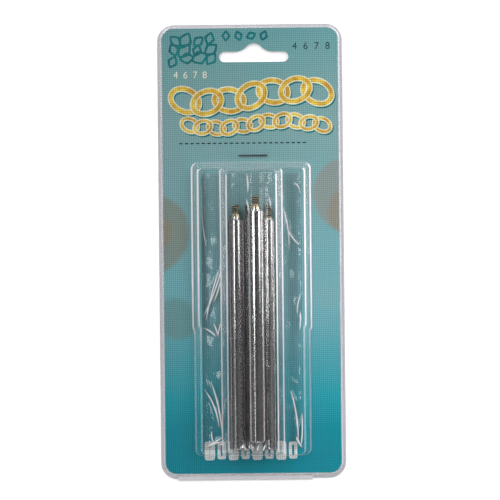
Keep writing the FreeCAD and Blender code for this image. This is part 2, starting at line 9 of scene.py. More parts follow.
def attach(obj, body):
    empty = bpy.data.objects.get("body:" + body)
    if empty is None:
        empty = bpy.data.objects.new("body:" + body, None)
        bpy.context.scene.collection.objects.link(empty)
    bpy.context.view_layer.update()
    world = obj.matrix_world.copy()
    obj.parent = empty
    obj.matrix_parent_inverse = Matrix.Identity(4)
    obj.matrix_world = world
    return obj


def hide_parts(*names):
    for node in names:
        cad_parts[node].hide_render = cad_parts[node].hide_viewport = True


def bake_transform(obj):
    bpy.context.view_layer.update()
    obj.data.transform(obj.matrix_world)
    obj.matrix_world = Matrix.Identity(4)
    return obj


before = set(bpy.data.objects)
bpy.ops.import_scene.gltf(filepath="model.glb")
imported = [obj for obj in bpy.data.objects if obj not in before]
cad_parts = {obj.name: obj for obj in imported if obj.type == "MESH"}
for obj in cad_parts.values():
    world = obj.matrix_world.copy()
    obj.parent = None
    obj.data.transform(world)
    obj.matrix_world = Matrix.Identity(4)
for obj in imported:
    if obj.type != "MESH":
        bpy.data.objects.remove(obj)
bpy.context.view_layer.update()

MM = 0.001

# The view.
# The pack lies on its back and is seen square from above, from 600 mm, turned by half a degree.
# At the table 223 mm fill the frame's width.

view_height = 600 * MM
view_across = 223.2 * MM
view_turn = -0.58

camera = bpy.data.cameras.new("view_from_above")
camera.sensor_width = 36
camera.lens = camera.sensor_width * view_height / view_across
camera.clip_start = 10 * MM
camera.clip_end = 20
viewer = bpy.data.objects.new("viewer", camera)
viewer.location = (-0.72 * MM, 0.98 * MM, view_height)
viewer.rotation_euler = (0, 0, math.radians(view_turn))
bpy.context.scene.collection.objects.link(viewer)
bpy.context.scene.camera = viewer
bpy.context.scene.view_settings.view_transform = "Standard"


# The table and the light.
# A plain white table and soft lamps above to the left, to the right and past the pack's foot, in a
# dim room, so that each polished rod shows a streak from each lamp and dark sides.


def paint(red, green, blue):
    """A colour for a shader from its screen values of 0 to 255, with the screen's curve undone."""
    share = np.array([red, green, blue]) / 255
    linear = np.where(share <= 0.04045, share / 12.92, ((share + 0.055) / 1.055) ** 2.4)
    return (*(float(part) for part in linear), 1.0)


def add_node(tree, kind, values=None, **options):
    """A shader node: its sockets are filled by name or number with a value or another socket."""
    node = tree.nodes.new("ShaderNode" + kind)
    for option, value in options.items():
        setattr(node, option, value)
    for socket, value in (values or {}).items():
        if isinstance(value, bpy.types.NodeSocket):
            tree.links.new(value, node.inputs[socket])
        else:
            node.inputs[socket].default_value = value
    return node


def fill_ramp(ramp, stops):
    """Sets a colour ramp's stops, each its place from 0 to 1 and its colour, in rising order."""
    steps = ramp.color_ramp.elements
    steps[0].position, steps[0].color = stops[0]
    steps[1].position, steps[1].color = stops[-1]
    for position, colour in stops[1:-1]:
        steps.new(position).color = colour


def new_finish(name):
    """An empty material, with its tree and its output node's surface socket."""
    material = bpy.data.materials.new(name)
    material.use_nodes = True
    tree = material.node_tree
    tree.nodes.clear()
    output = tree.nodes.new("ShaderNodeOutputMaterial")
    return material, tree, output.inputs["Surface"]


def put_into_mesh(name, points, faces):
    """A new object from an array of points and a list of corner numbers for each face."""
    mesh = bpy.data.meshes.new(name)
    mesh.from_pydata(points.tolist(), [], faces.tolist() if hasattr(faces, "tolist") else faces)
    mesh.update()
    piece = bpy.data.objects.new(name, mesh)
    bpy.context.scene.collection.objects.link(piece)
    return piece


def hang_lamp(name, place, aim, width, length, brightness):
    """A soft lamp at place that faces aim. Brightness 1 is as bright as a lit white surface."""
    lamp = bpy.data.lights.new(name, "AREA")
    lamp.shape = "RECTANGLE"
    lamp.size = width
    lamp.size_y = length
    lamp.energy = brightness * math.pi * width * length
    holder = bpy.data.objects.new(name, lamp)
    bpy.context.scene.collection.objects.link(holder)
    holder.visible_camera = False
    back = np.array(place) - np.array(aim)
    back = back / np.linalg.norm(back)
    across = np.cross((0, 1, 0), back)
    across = across / np.linalg.norm(across)
    along = np.cross(back, across)
    turned = np.eye(4)
    turned[:3, 0] = across
    turned[:3, 1] = along
    turned[:3, 2] = back
    turned[:3, 3] = place
    holder.matrix_world = Matrix(turned.tolist())


table_half = 8.0
table_drop = 0.02
near_lift = 0.30
far_lift = 0.85
lift_starts = 0.5
lift_ends = 1.8

table_points = np.array([(-1, -1, 0), (1, -1, 0), (1, 1, 0), (-1, 1, 0)]) * table_half
table_points[:, 2] = -table_drop * MM
table = put_into_mesh("table", table_points, [[0, 1, 2, 3]])
table_finish, tree, surface = new_finish("white_table")
lit = add_node(tree, "BsdfDiffuse", {"Color": paint(243, 242, 243)})
path = add_node(tree, "LightPath")
seen = add_node(tree, "Math", {0: path.outputs["Is Camera Ray"], 1: path.outputs["Is Glossy Ray"]})
seen_too = add_node(tree, "Math", {0: seen.outputs[0], 1: path.outputs["Is Transmission Ray"]})
place = add_node(tree, "TexCoord").outputs["Object"]
away = add_node(tree, "VectorMath", {0: place}, operation="LENGTH").outputs["Value"]
lift_here = add_node(tree, "MapRange", {0: away, 1: lift_starts, 2: lift_ends, 3: near_lift, 4: far_lift})
lift = add_node(tree, "Math", {0: seen_too.outputs[0], 1: lift_here.outputs[0]}, operation="MULTIPLY")
glow = add_node(tree, "Emission", {"Color": (1, 1, 1, 1), "Strength": lift.outputs[0]})
both = add_node(tree, "AddShader", {0: lit.outputs[0], 1: glow.outputs[0]})
tree.links.new(both.outputs[0], surface)
table.data.materials.append(table_finish)

lamps = (
    # name, place, spot it faces, width, length, brightness
    ("long_lamp", (-0.42, 0.40, 0.79), (0, 0.02, 0), 0.33, 1.00, 6.0),
    ("thin_lamp", (-0.42, -0.25, 0.79), (0, -0.05, 0), 0.06, 0.50, 3.0),
    ("low_lamp", (0.95, 0.34, 0.16), (0, 0.0, 0.01), 0.26, 0.90, 8.0),
    ("foot_lamp", (0.06, -0.78, 0.62), (0, -0.08, 0), 0.50, 0.24, 4.0),
    ("right_lamp", (0.66, 0.44, 0.60), (0, 0.02, 0), 0.42, 1.00, 4.3),
)
for lamp in lamps:
    hang_lamp(*lamp)

sky_stops = (
    (0.05, (0.85, 0.85, 0.85, 1)),
    (0.07, (0.03, 0.03, 0.03, 1)),
    (0.6, (0.11, 0.11, 0.11, 1)),
    (0.96, (0.10, 0.10, 0.10, 1)),
    (1.0, (0.035, 0.035, 0.04, 1)),
)
world = bpy.data.worlds.new("dim_room")
bpy.context.scene.world = world
world.use_nodes = True
tree = world.node_tree
tree.nodes.clear()
direction = add_node(tree, "TexCoord")
parts = add_node(tree, "SeparateXYZ", {0: direction.outputs["Generated"]})
height = add_node(tree, "ValToRGB", {0: parts.outputs["Z"]})
fill_ramp(height, sky_stops)
sky = add_node(tree, "Background", {"Color": height.outputs[0], "Strength": 1.0})
add_node(tree, "OutputWorld", {"Surface": sky.outputs[0]})


# The back half of the clamshell.
# A clear sheet of 0.35 mm, formed hot over a mould: a flat rim, and a panel raised to hold the card.
# The hang slot and the staple's two holes are punched through it.

pack_half = 41.25
pack_low = -101.0
pack_high = 101.6
pack_corner = 7.5
sheet_gauge = 0.35
rim_top = 0.35
tray_top = 1.05
slot_across = 1.8
slot_along = 87.0
slot_half_width = 2.3
slot_reach = 13.1
slot_rise_round = 4.2
slot_rise_lift = 1.8
slot_flare_round = 6.85
staple_legs = (-5.15, 7.25)
staple_along = 43.1
staple_hole = 0.4
punch_low = -2
punch_high = 6
merge_reach = 1e-6


def lines(*stretches):
    """Places along one axis: each stretch is its start, its end and the greatest step in it."""
    runs = []
    for start, end, step in stretches:
        count = int(math.ceil(abs(end - start) / step)) + 1
        runs.append(np.linspace(start, end, count)[:-1])
    runs.append(np.array([stretches[-1][1]]))
    return np.concatenate(runs)


def outline_distance(x, y, half, low, high, radius):
    """How far a point is outside a rounded rectangle: the reach past its corner's centre, less
    the radius. Inside it is negative."""
    past_x = np.abs(x) - half + radius
    past_y = np.abs(y - (low + high) / 2) - (high - low) / 2 + radius
    outside = np.hypot(np.maximum(past_x, 0), np.maximum(past_y, 0))
    return outside + np.minimum(np.maximum(past_x, past_y), 0) - radius


def climb(x, y, foot, top):
    """The share of the way up a sloping wall: the outline that passes through the point, between
    the foot's and the top's, found by halving."""
    low = np.full(x.shape, -0.5)
    high = np.full(x.shape, 1.5)
    for _ in range(20):
        share = (low + high) / 2
        between = [start + (end - start) * share for start, end in zip(foot, top)]
        inside = outline_distance(x, y, *between) < 0
        low = np.where(inside, share, low)
        high = np.where(inside, high, share)
    return (low + high) / 2


def eased(share, ease):
    """The share held between 0 and 1, with a parabola of this half length at each bend."""

    def bend(value):
        curved = np.clip(value + ease, 0, 2 * ease) ** 2 / (4 * ease)
        return curved + np.maximum(value - ease, 0)

    return bend(share) - bend(share - 1)


def fit_corners(x, y, low, high):
    """Draws the outer columns in along the round corners: past the corner's centre a column keeps
    its share of the way to the edge."""
    inner = pack_half - pack_corner
    past = np.maximum(np.maximum(low + pack_corner - y, y - high + pack_corner), 0)
    reach = np.sqrt(np.maximum(pack_corner**2 - past**2, 0)) / pack_corner
    drawn_in = inner + (np.abs(x) - inner) * reach
    return np.where(np.abs(x) > inner, np.sign(x) * drawn_in, x)


def corner_rows(low, high):
    """Rows through both ends' corners, one for each equal step round the arc."""
    arc = np.radians(np.linspace(0, 90, 25))
    rise = pack_corner * np.sin(arc)
    return low + pack_corner - rise[::-1], high - pack_corner + rise


def quads(rows, columns, ring=False):
    """Corner numbers of the faces of a grid: each point, the next across, and those a row on."""
    step = np.arange(columns if ring else columns - 1)
    start = np.arange(rows - 1)[:, None] * columns
    near, far = start + step, start + (step + 1) % columns
    return np.stack([near, far, far + columns, near + columns], -1).reshape(-1, 4)


def slot_outline():
    """The hang slot's outline: round ends, and a round rise that flares into the upper side."""
    rise = slot_rise_round + slot_flare_round
    flare_y = slot_half_width + slot_flare_round
    flare_x = math.sqrt(rise**2 - (flare_y - slot_rise_lift) ** 2)
    lean = math.degrees(math.atan2(flare_y - slot_rise_lift, flare_x))
    arcs = (
        (slot_reach, 0, slot_half_width, -90, 90),
        (flare_x, flare_y, slot_flare_round, 270, 180 + lean),
        (0, slot_rise_lift, slot_rise_round, lean, 180 - lean),
        (-flare_x, flare_y, slot_flare_round, -lean, -90),
        (-slot_reach, 0, slot_half_width, 90, 270),
    )
    spots = []
    for middle_x, middle_y, radius, start, end in arcs:
        angle = np.radians(np.linspace(start, end, 20))
        spots.append(np.stack([middle_x + radius * np.cos(angle), middle_y + radius * np.sin(angle)], -1))
    return np.concatenate(spots) + (slot_across, slot_along)


def prism(name, outline, low, high):
    """A solid that stands on an outline, to punch a hole with."""
    count = len(outline)
    floor = np.column_stack([outline, np.full(count, low)])
    roof = np.column_stack([outline, np.full(count, high)])
    after = (np.arange(count) + 1) % count
    sides = np.stack([np.arange(count), after, after + count, np.arange(count) + count], -1).tolist()
    caps = [list(range(count))[::-1], list(range(count, 2 * count))]
    return put_into_mesh(name, np.concatenate([floor, roof]) * MM, sides + caps)


def settle(piece, tools=()):
    """Makes the modifiers' result the piece's own mesh, and clears the tools away."""
    seen_now = piece.evaluated_get(bpy.context.evaluated_depsgraph_get())
    mesh = bpy.data.meshes.new_from_object(seen_now)
    piece.modifiers.clear()
    piece.data = mesh
    for tool in tools:
        bpy.data.objects.remove(tool)


def merge_points(piece):
    """Joins points that coincide."""
    shell = bmesh.new()
    shell.from_mesh(piece.data)
    bmesh.ops.remove_doubles(shell, verts=shell.verts, dist=merge_reach)
    shell.to_mesh(piece.data)
    shell.free()


def form_sheet(name, columns, rows, top_of, keep=None):
    """A formed sheet: its upper face is top_of over a grid fitted to the pack's outline, and its
    gauge is added below. The slot and the staple's holes are punched out."""
    y, x = np.meshgrid(rows, columns, indexing="ij")
    x = fit_corners(x, y, rows[0], rows[-1])
    points = np.stack([x, y, top_of(x, y)], -1).reshape(-1, 3)
    faces = quads(len(rows), len(columns))
    if keep is not None:
        middle = points[faces].mean(1)
        faces = faces[keep(middle[:, 0], middle[:, 1])]
    piece = put_into_mesh(name, points * MM, faces)
    merge_points(piece)
    wall = piece.modifiers.new("gauge", "SOLIDIFY")
    wall.thickness = sheet_gauge * MM
    wall.offset = -1
    punches = [prism(name + "_slot_punch", slot_outline(), punch_low, punch_high)]
    angle = np.linspace(0, 2 * np.pi, 24, endpoint=False)
    circle = np.stack([np.cos(angle), np.sin(angle)], -1) * staple_hole
    for leg in staple_legs:
        punches.append(prism(name + "_leg_punch", circle + (leg, staple_along), punch_low, punch_high))
    for punch in punches:
        cut = piece.modifiers.new("punched", "BOOLEAN")
        cut.operation = "DIFFERENCE"
        cut.object = punch
    settle(piece, punches)
    piece.data.polygons.foreach_set("use_smooth", np.ones(len(piece.data.polygons), bool))
    piece.data.set_sharp_from_angle(angle=math.radians(40))
    return piece


def mark(piece, name, values):
    """Keeps one number for each point of the mesh, for the piece's material to read."""
    attribute = piece.data.attributes.new(name, "FLOAT", "POINT")
    attribute.data.foreach_set("value", np.asarray(values, np.float32))


def points_of(piece):
    """The mesh's points in millimetres, as three rows."""
    spots = np.empty(len(piece.data.vertices) * 3, np.float32)
    piece.data.vertices.foreach_get("co", spots)
    return spots.reshape(-1, 3).T / MM


# Painted shade: a darker see-through colour for the bare rim.
rim_painted_shade_tint = (0.92, 0.92, 0.93, 1.0)
square_on_mirror = 0.045


def clear_finish(name, tint, haze, wall_reflection_paint, bend_highlight_paint, ripple, ripple_depth, roughness):
    """Thin clear plastic: what is behind it, a mirror that grows to the sides as the fifth power
    of the tilt, and a white haze. The marks thicken the haze into a painted reflection in drawn walls
    and into white lines along bends, partly whitening and partly painted highlight; a darker
    see-through tint on the bare rim is painted shade."""
    material, tree, surface = new_finish(name)
    place = add_node(tree, "TexCoord").outputs["Object"]
    wave = add_node(tree, "TexNoise", {"Vector": place, "Scale": ripple, "Detail": 2.0})
    bump = add_node(tree, "Bump", {"Height": wave.outputs[0], "Distance": ripple_depth, "Strength": 1.0})
    tilt = add_node(tree, "LayerWeight", {"Blend": 0.5, "Normal": bump.outputs[0]})
    steep = add_node(tree, "Math", {0: tilt.outputs["Facing"], 1: 5.0}, operation="POWER")
    mirror = add_node(tree, "Math", {0: steep.outputs[0], 1: 1 - square_on_mirror, 2: square_on_mirror},
                      operation="MULTIPLY_ADD")
    wall = add_node(tree, "Attribute", attribute_name="wall_painted_reflection")
    edge = add_node(tree, "Attribute", attribute_name="bend_whitening_and_highlight")
    broken = add_node(tree, "TexNoise", {"Vector": place, "Scale": 140.0, "Detail": 3.0})
    patch = add_node(tree, "MapRange", {0: broken.outputs[0], 1: 0.35, 2: 0.65, 3: 0.55, 4: 1.0})
    # Painted light: the wall mark adds a painted reflection as white haze, and the bend mark white lines of
    # partly whitening and partly painted highlight.
    in_wall = add_node(tree, "Math", {0: wall.outputs["Fac"], 1: wall_reflection_paint, 2: haze},
                       operation="MULTIPLY_ADD")
    in_patches = add_node(tree, "Math", {0: in_wall.outputs[0], 1: patch.outputs[0]}, operation="MULTIPLY")
    haze_and_painted_light = add_node(tree, "Math", {0: edge.outputs["Fac"], 1: bend_highlight_paint, 2: in_patches.outputs[0]},
                    operation="MULTIPLY_ADD", use_clamp=True)
    # Painted shade: the bare rim's see-through colour is darker.
    rim = add_node(tree, "Attribute", attribute_name="rim_painted_shade").outputs["Fac"]
    seen = add_node(tree, "Mix", {0: rim, 6: tint, 7: rim_painted_shade_tint}, data_type="RGBA")
    see_through = add_node(tree, "BsdfTransparent", {"Color": seen.outputs[2]})
    white = add_node(tree, "BsdfDiffuse", {"Color": paint(236, 236, 240), "Normal": bump.outputs[0]})
    body = add_node(tree, "MixShader", {0: haze_and_painted_light.outputs[0], 1: see_through.outputs[0], 2: white.outputs[0]})
    shine = add_node(tree, "BsdfGlossy", {"Roughness": roughness, "Normal": bump.outputs[0]})
    whole = add_node(tree, "MixShader", {0: mirror.outputs[0], 1: body.outputs[0], 2: shine.outputs[0]})
    tree.links.new(whole.outputs[0], surface)
    return material


def bend_mark(share, width, side, at_end):
    """White lines, partly whitening and partly painted highlight: two bells, at a wall's foot and at
    its top, and less along the two ends than the sides.
    """
    bells = sum(np.exp(-(((share - level) / width) ** 2)) for level in (0, 1))
    return bells * (at_end + (1 - at_end) * side**2)


def side_share(x, y, half, low, high, radius):
    """How far the outline's nearest side runs along the pack: the square of the distance's
    change across the pack, 1 at a long side and 0 at an end."""
    step = 0.05
    right = outline_distance(x + step, y, half, low, high, radius)
    left = outline_distance(x - step, y, half, low, high, radius)
    return ((right - left) / (2 * step)) ** 2


tray_foot = (39.5, -98.75, 100.15, 5.35)
tray_edge = (39.2, -98.45, 99.85, 5.05)


def back_top(x, y):
    """The back's upper face: the rim, and the panel that rises just inside the card's edge."""
    return rim_top + (tray_top - rim_top) * eased(climb(x, y, tray_foot, tray_edge), 0.2)


low_rows, high_rows = corner_rows(pack_low, pack_high)
side_columns = lines((-pack_half, -40.2, 0.35), (-40.2, -39.0, 0.12), (-39.0, -33.75, 0.6))
back_columns = np.concatenate([side_columns, lines((-33.75, 33.75, 3.4))[1:-1], -side_columns[::-1]])
back_rows = np.concatenate([low_rows, lines((low_rows[-1], high_rows[0], 3.2))[1:-1], high_rows])
back_half = form_sheet("clamshell_back", back_columns, back_rows, back_top)
x, y, z = points_of(back_half)
share = climb(x, y, tray_foot, tray_edge)
# Painted light: a painted reflection on the tray's wall, white lines at its foot and top that are partly
# whitening and partly painted highlight, and painted shade as a darker tint on the bare rim.
mark(back_half, "wall_painted_reflection", (share > 0) & (share < 1))
mark(back_half, "bend_whitening_and_highlight", bend_mark(share, 0.2, side_share(x, y, *tray_foot), 0.5))
mark(back_half, "rim_painted_shade", np.clip(-3 * share, 0, 1))
clear_tint = (0.985, 0.992, 0.99, 1.0)
clamshell_finish = clear_finish("clear_formed_sheet", clear_tint, 0.003, 0.22, 1.3, 70.0, 0.00022, 0.04)
back_half.data.materials.append(clamshell_finish)
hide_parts("back_shell")
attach(back_half, "root")


# The card.
# Coated board of 0.45 mm with a fine linen grain, printed on its front in teal that deepens
# downwards, with soft blurred spots. Its back and its cut edges are plain board.

card_top = 1.55
thread_spacing = 0.85
deeper_to_the_left = 3.2
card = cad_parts["printed_card"]


def linen_grain(tree, place):
    """Threads both ways: a sine of the way across and one of the way along, each bent by noise,
    and the two added. The wave repeats every 0.314 over its scale."""
    scale = 0.314 / thread_spacing / MM
    threads = []
    for direction in ("X", "Y"):
        weave = add_node(
            tree, "TexWave",
            {"Vector": place, "Scale": scale, "Distortion": 2.6, "Detail": 2.0, "Detail Scale": 0.3},
            bands_direction=direction,
        )
        threads.append(weave.outputs["Fac"])
    return add_node(tree, "Math", {0: threads[0], 1: threads[1]}).outputs[0]


def printed_finish(name, ink_of):
    """Coated board or ink: ink_of gives the colour, the linen grain lightens, darkens and roughens
    it, and the colour is a little darker towards the left."""
    material, tree, surface = new_finish(name)
    place = add_node(tree, "TexCoord").outputs["Object"]
    grain = linen_grain(tree, place)
    shade = add_node(tree, "MapRange", {0: grain, 1: 0.0, 2: 2.0, 3: 0.66, 4: 1.32})
    across = add_node(tree, "SeparateXYZ", {0: place}).outputs["X"]
    deepened = add_node(tree, "Math", {0: across, 1: deeper_to_the_left, 2: shade.outputs[0]},
                        operation="MULTIPLY_ADD")
    colour = ink_of(tree, place)
    mixed = add_node(tree, "VectorMath", {0: colour, "Scale": deepened.outputs[0]}, operation="SCALE")
    bump = add_node(tree, "Bump", {"Height": grain, "Distance": 0.00004, "Strength": 0.7})
    coat = add_node(tree, "BsdfPrincipled", {
        "Base Color": mixed.outputs[0], "Roughness": 0.5, "Specular IOR Level": 0.15,
        "Normal": bump.outputs[0],
    })
    tree.links.new(coat.outputs[0], surface)
    return material


soft_spots = (
    # middle, reach, blur, colour
    ((-45, 10, 1.55), 24, 1.2, paint(138, 140, 128)),
    ((-45, 10, 1.55), 16, 1.2, paint(150, 140, 124)),
    ((-33, -30, 1.55), 15, 1.6, paint(112, 152, 152)),
    ((44, 26, 1.55), 22, 1.2, paint(146, 148, 142)),
    ((46, 18, 1.55), 17, 1.2, paint(150, 140, 126)),
    ((6, 38, 1.55), 14, 2.0, paint(128, 172, 174)),
    ((33, -20, 1.55), 12, 1.6, paint(126, 176, 184)),
)
spot_strength = 0.75
teal_bands = (
    (0.0, paint(2, 141, 159)),
    (0.08, paint(6, 145, 162)),
    (0.16, paint(38, 160, 175)),
    (0.38, paint(120, 178, 188)),
    (0.79, paint(130, 168, 170)),
    (1.0, paint(104, 158, 162)),
)
bare_board = paint(222, 220, 214)


def card_colours(tree, place):
    """Teal by the place along the card, soft blurred spots over it, and bare board off the front."""
    parts = add_node(tree, "SeparateXYZ", {0: place})
    drift = add_node(tree, "TexNoise", {"Vector": place, "Scale": 18.0, "Detail": 2.0})
    wander = add_node(tree, "Math", {0: drift.outputs[0], 1: 0.03, 2: parts.outputs["Y"]},
                      operation="MULTIPLY_ADD")
    along = add_node(tree, "MapRange", {0: wander.outputs[0], 1: -0.080, 2: 0.115, 3: 0.0, 4: 1.0})
    ramp = add_node(tree, "ValToRGB", {0: along.outputs[0]})
    fill_ramp(ramp, teal_bands)
    picture = ramp.outputs[0]
    for middle, reach, blur, colour in soft_spots:
        apart = add_node(tree, "VectorMath", {0: place, 1: tuple(part * MM for part in middle)},
                         operation="DISTANCE")
        uneven = add_node(tree, "Math", {0: drift.outputs[0], 1: 0.012, 2: apart.outputs["Value"]},
                          operation="MULTIPLY_ADD")
        spot = add_node(tree, "MapRange", {
            0: uneven.outputs[0], 1: (reach - blur) * MM, 2: (reach + blur) * MM, 3: spot_strength, 4: 0.0,
        }, interpolation_type="SMOOTHSTEP")
        picture = add_node(tree, "Mix", {0: spot.outputs[0], 6: picture, 7: colour},
                           data_type="RGBA").outputs[2]
    front = add_node(tree, "Math", {0: parts.outputs["Z"], 1: (card_top - 0.02) * MM},
                     operation="GREATER_THAN")
    return add_node(tree, "Mix", {0: front.outputs[0], 6: bare_board, 7: picture},
                    data_type="RGBA").outputs[2]


card.data.materials.clear()
card.data.materials.append(printed_finish("printed_board", card_colours))


# The print's ornament.
# Inks laid on the card: two chains of gold links with a pale outline, dark teal lozenges at the
# top, the four sizes as numbers, a stitched line, and a row of silver bars near the bottom.

ink_floor = card_top + 0.006
ink_step = 0.004
link_tilts = (-0.3, 0.4)
link_wire = 0.27
outline_spread = 1.0
shade_spread = 0.9
shade_moved = (0.5, -0.7)


def shaded_ink(dark, light):
    """An ink that drifts between two near colours, as a printed picture of metal does."""

    def colours(tree, place):
        drift = add_node(tree, "TexNoise", {"Vector": place, "Scale": 260.0, "Detail": 2.0})
        share = add_node(tree, "MapRange", {0: drift.outputs[0], 1: 0.35, 2: 0.65, 3: 0.0, 4: 1.0})
        return add_node(tree, "Mix", {0: share.outputs[0], 6: dark, 7: light}, data_type="RGBA").outputs[2]

    return colours


def ring_band(middle, radii, turn, width, height, corners=72, squareness=2.0):
    """A flat closed band round an oval: two rows of points, each an oval of the form
    |x/a|^n + |y/b|^n = 1, half a width inside and outside the line."""
    angle = np.linspace(0, 2 * np.pi, corners, endpoint=False)
    cosine, sine = np.cos(angle), np.sin(angle)
    round_x = np.sign(cosine) * np.abs(cosine) ** (2 / squareness)
    round_y = np.sign(sine) * np.abs(sine) ** (2 / squareness)
    rows = []
    for side in (-0.5, 0.5):
        rows.append(np.stack([(radii[0] + side * width) * round_x, (radii[1] + side * width) * round_y], -1))
    flat = np.concatenate(rows)
    cos_turn, sin_turn = math.cos(turn), math.sin(turn)
    turned = flat @ np.array([[cos_turn, sin_turn], [-sin_turn, cos_turn]]) + middle
    points = np.column_stack([turned, np.full(len(turned), height)])
    return points, quads(2, corners, ring=True)[:, ::-1]


def lay_ink(name, shapes, finish):
    """One layer of ink from many flat shapes, each its points and its faces."""
    starts = np.cumsum([0] + [len(points) for points, _ in shapes[:-1]])
    points = np.concatenate([points for points, _ in shapes])
    faces = np.concatenate([faces + start for (_, faces), start in zip(shapes, starts)])
    layer = put_into_mesh(name, points * MM, faces)
    layer.data.materials.append(finish)
    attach(layer, "root")


def lay_chain(name, places, wave, radii, level):
    """Links along a wave: every second link lies over its neighbours. Below each lies a wider
    pale link, and below all a dark one, moved down a little as a cast shadow is."""
    start_y, swing, stretch = wave
    middles = np.stack([places, start_y + swing * np.sin(places / stretch)], -1)
    slopes = np.arctan2(swing / stretch * np.cos(places / stretch), 1.0)
    gold, pale, shade = [], [], []
    for number, (middle, slope) in enumerate(zip(middles, slopes)):
        turn = slope + link_tilts[number % 2]
        height = level + ink_step * (2 + 2 * (number % 2))
        width = link_wire * radii[0]
        gold.append(ring_band(middle, radii, turn, width, height))
        pale.append(ring_band(middle, radii, turn, width + outline_spread, height - ink_step))
        shade.append(ring_band(middle + shade_moved, radii, turn, width + shade_spread, level))
    lay_ink(name + "_shade", shade, teal_ink)
    lay_ink(name + "_outline", pale, pale_ink)
    lay_ink(name, gold, gold_ink)


gold_ink = printed_finish("gold_ink", shaded_ink(paint(196, 148, 44), paint(236, 204, 84)))
pale_ink = printed_finish("pale_ink", shaded_ink(paint(224, 214, 178), paint(240, 236, 214)))
teal_ink = printed_finish("dark_teal_ink", shaded_ink(paint(0, 104, 110), paint(14, 126, 130)))
dark_ink = printed_finish("blackish_teal_ink", shaded_ink(paint(4, 52, 58), paint(14, 70, 76)))
silver_ink = printed_finish("silver_ink", shaded_ink(paint(226, 229, 230), paint(246, 247, 247)))
lay_chain("print_chain_large", np.linspace(-29, 30, 7), (69.5, 2.6, 12.0), (6.6, 4.9), ink_floor)
lay_chain("print_chain_small", np.linspace(-27, 32, 11), (57.0, 1.6, 9.0), (3.8, 2.8), ink_floor)

lozenge_pitch = 5.6
lozenge_lift = 0.0012
scatter = np.random.default_rng(8)
lozenges = []
for number in range(16):
    size = scatter.uniform(2.3, 3.6)
    across = -34.0 + lozenge_pitch * (number % 4) + scatter.uniform(-1, 1)
    middle = (across, 94.6 - 4.4 * (number // 4) + scatter.uniform(-1, 1))
    if number >= 12:
        size = 1.9
        middle = (-10.5 + lozenge_pitch * (number - 12), 96.4)
    height = ink_floor + lozenge_lift * number
    lozenges.append(ring_band(middle, (size, size * 0.74), scatter.uniform(0, 3), 1.2, height, 48, 1.25))
lay_ink("print_lozenges", lozenges, teal_ink)

stitches = [
    ring_band((-31 + 2.5 * number, 48.6), (0.62, 0.16), 0, 0.3, ink_floor, 24, 6.0)
    for number in range(23)
]
lay_ink("print_stitches", stitches, dark_ink)
bar_middles = [(-19.5 + 5.3 * number, -88.3) for number in range(8)]
bars = [
    ring_band(middle, (1.2, 3.1), 0, 2.2 - 0.8 * (number % 2), ink_floor, 40, 6.0)
    for number, middle in enumerate(bar_middles)
]
lay_ink("print_bars", bars, silver_ink)


def print_number(name, text, middle, tall, finish):
    """A plain number laid on the card: its outline's filled shape, moved to its place."""
    words = bpy.data.curves.new(name, "FONT")
    words.body = text
    words.size = tall
    words.align_x = "CENTER"
    words.align_y = "CENTER"
    holder = bpy.data.objects.new(name + "_outline", words)
    bpy.context.scene.collection.objects.link(holder)
    seen_now = holder.evaluated_get(bpy.context.evaluated_depsgraph_get())
    mesh = bpy.data.meshes.new_from_object(seen_now)
    bpy.data.objects.remove(holder)
    spots = np.empty(len(mesh.vertices) * 3, np.float32)
    mesh.vertices.foreach_get("co", spots)
    spots = spots.reshape(-1, 3) + np.array([middle[0], middle[1], ink_floor])
    mesh.vertices.foreach_set("co", (spots * MM).ravel().astype(np.float32))
    mesh.materials.clear()
    mesh.materials.append(finish)
    piece = bpy.data.objects.new(name, mesh)
    bpy.context.scene.collection.objects.link(piece)
    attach(piece, "root")


for place, size in enumerate((4, 6, 7, 8)):
    print_number(f"print_size_{size}", str(size), (20.0 + 4.9 * place, 91.5), 4.4, dark_ink)
    print_number(f"print_mark_{size}", str(size), (-33.0 + 4.3 * place, 79.0), 4.4, pale_ink)


# The staple.
# Half-inch steel wire staple through both halves and the card, just above the blister.

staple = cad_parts["staple"]
wire_finish, tree, surface = new_finish("drawn_wire")
place = add_node(tree, "TexCoord").outputs["Object"]
drawn = add_node(tree, "Mapping", {"Vector": place, "Scale": (0.08, 1.0, 1.0)})
scratch = add_node(tree, "TexNoise", {"Vector": drawn.outputs[0], "Scale": 9000.0, "Detail": 2.0})
dull = add_node(tree, "MapRange", {0: scratch.outputs[0], 1: 0.3, 2: 0.7, 3: 0.25, 4: 0.5})
steel = add_node(
    tree, "BsdfPrincipled",
    {"Base Color": paint(96, 98, 102), "Metallic": 1.0, "Roughness": dull.outputs[0]},
)
tree.links.new(steel.outputs[0], surface)
staple.data.materials.clear()
staple.data.materials.append(wire_finish)


# The four mandrels.
# Turned steel rods, 4 inches long, chromed. A rounded tip, a small cross hole for the wire's end,
# and at the top a threaded stud that screws into a handle, with a cone behind it on the thick ones.

rod_length = 101.6
tip_round = 0.7
shoulder_chamfer = 0.3
stud_radius = 1.75
stud_length = 6.5
thread_pitch = 0.8
thread_depth = 0.48
thread_run_in = 0.5
thread_run_out = 0.3
stud_chamfer = 0.4
shaft_rows = 60
stud_rows = 64
wire_hole = 0.6
wire_hole_down = 6.0
mandrels = {
    # radius, across, lift, shoulder along, cone's radius, cone's length, wire hole's way
    "mandrel_4mm": (2.0, -1.3, 3.95, 14.5, 1.75, 0.4, "up"),
    "mandrel_6mm": (3.0, 7.6, 4.95, 14.2, 2.0, 1.0, "across"),
    "mandrel_7mm": (3.5, -7.0, 5.45, 14.5, 2.6, 2.5, "across"),
    "mandrel_8mm": (4.0, 1.84, 9.40, 18.3, 2.6, 2.5, "across"),
}


